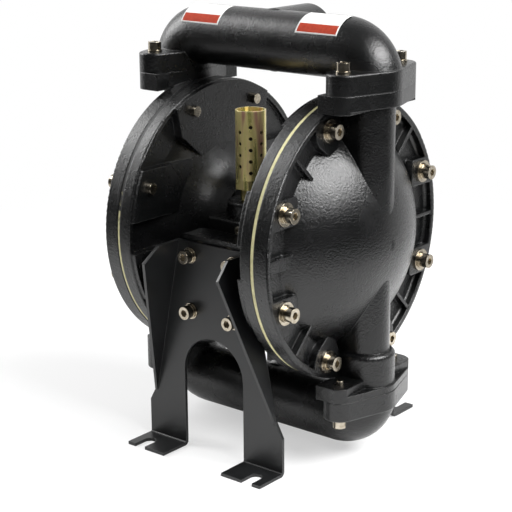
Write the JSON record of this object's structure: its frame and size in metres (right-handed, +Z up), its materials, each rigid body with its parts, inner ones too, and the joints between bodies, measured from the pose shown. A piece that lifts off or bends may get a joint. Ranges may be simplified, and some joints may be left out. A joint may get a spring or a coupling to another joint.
{
  "type": "air operated double diaphragm pump",
  "caption": "Air operated double diaphragm pump with domed metal caps, tubular manifolds, folded sheet legs and a perforated exhaust muffler.",
  "frame": {"origin": "on the floor under the middle of the pump", "axes": "+X along the diaphragm rod, +Y towards the fluid ports, +Z up; the muffler side is -Y"},
  "size_m": [0.2234, 0.2196, 0.3325],
  "materials": {
    "black_enamel": "semi-gloss enamel over cast aluminium",
    "black_sheet": "satin powder coat on folded sheet steel",
    "plated_steel": "plated steel, satin",
    "diaphragm_rubber": "moulded pale yellow elastomer",
    "stainless_rod": "ground",
    "plate_aluminium": "turned",
    "spool_aluminium": "hard anodised",
    "bushing_bronze": "plain",
    "seal_rubber": "moulded",
    "seat_plastic": "machined",
    "ball_plastic": "ground sphere",
    "yellow_zinc": "yellow passivated zinc plating",
    "sintered_bronze": "porous",
    "brass_fitting": "plain"
  },
  "bodies": {
    "housing": {"left_fluid_cap": "black_enamel", "right_fluid_cap": "black_enamel", "left_air_cap": "black_enamel", "right_air_cap": "black_enamel", "center_body": "black_enamel", "valve_block": "black_enamel", "inlet_block": "black_enamel", "discharge_manifold": "black_enamel", "inlet_manifold": "black_enamel", "spool_plugs": "black_enamel", "front_bracket": "black_sheet", "rear_bracket": "black_sheet", "left_cap_bolts": "plated_steel", "right_cap_bolts": "plated_steel", "left_cap_washers": "plated_steel", "right_cap_washers": "plated_steel", "left_cap_spring_washers": "plated_steel", "right_cap_spring_washers": "plated_steel", "body_screw": "plated_steel", "discharge_flange_bolts": "plated_steel", "inlet_flange_bolts": "plated_steel", "discharge_flange_washers": "plated_steel", "inlet_flange_washers": "plated_steel", "front_leg_screws": "plated_steel", "rear_leg_screws": "plated_steel", "front_leg_washers": "plated_steel", "rear_leg_washers": "plated_steel", "front_leg_spring_washers": "plated_steel", "rear_leg_spring_washers": "plated_steel", "hub_screws": "plated_steel", "valve_block_screws": "plated_steel", "inlet_block_screws": "plated_steel", "left_diaphragm": "diaphragm_rubber", "right_diaphragm": "diaphragm_rubber", "rod_bushings": "bushing_bronze", "rod_seals": "seal_rubber", "flange_seals": "seal_rubber", "valve_gasket": "seal_rubber", "inlet_gasket": "seal_rubber", "discharge_seats": "seat_plastic", "inlet_seats": "seat_plastic", "muffler_nipple": "yellow_zinc", "muffler_shell": "yellow_zinc", "muffler_element": "sintered_bronze", "air_inlet_bushing": "brass_fitting"},
    "rod": {"diaphragm_rod": "stainless_rod", "inner_plates": "plate_aluminium", "outer_plates": "plate_aluminium", "rod_nuts": "stainless_rod"},
    "pilot": {"pilot_rod": "stainless_rod"},
    "spool": {"valve_spool": "spool_aluminium"},
    "left_discharge_check": {"left_discharge_ball": "ball_plastic"},
    "right_discharge_check": {"right_discharge_ball": "ball_plastic"},
    "left_inlet_check": {"left_inlet_ball": "ball_plastic"},
    "right_inlet_check": {"right_inlet_ball": "ball_plastic"}
  },
  "joints": [
    {"name": "rod_slide", "type": "slide", "parent": "housing", "child": "rod", "axis": [1, 0, 0], "range_m": [-0.01, 0.01], "deforming": ["right_diaphragm", "left_diaphragm"]},
    {"name": "pilot_slide", "type": "slide", "parent": "housing", "child": "pilot", "axis": [1, 0, 0], "range_m": [-0.004, 0.004]},
    {"name": "spool_slide", "type": "slide", "parent": "housing", "child": "spool", "axis": [1, 0, 0], "range_m": [-0.006, 0.006]},
    {"name": "left_discharge_lift", "type": "slide", "parent": "housing", "child": "left_discharge_check", "axis": [0, 0, 1], "range_m": [0, 0.006]},
    {"name": "right_discharge_lift", "type": "slide", "parent": "housing", "child": "right_discharge_check", "axis": [0, 0, 1], "range_m": [0, 0.006]},
    {"name": "left_inlet_lift", "type": "slide", "parent": "housing", "child": "left_inlet_check", "axis": [0, 0, 1], "range_m": [0, 0.006]},
    {"name": "right_inlet_lift", "type": "slide", "parent": "housing", "child": "right_inlet_check", "axis": [0, 0, 1], "range_m": [0, 0.006]}
  ]
}
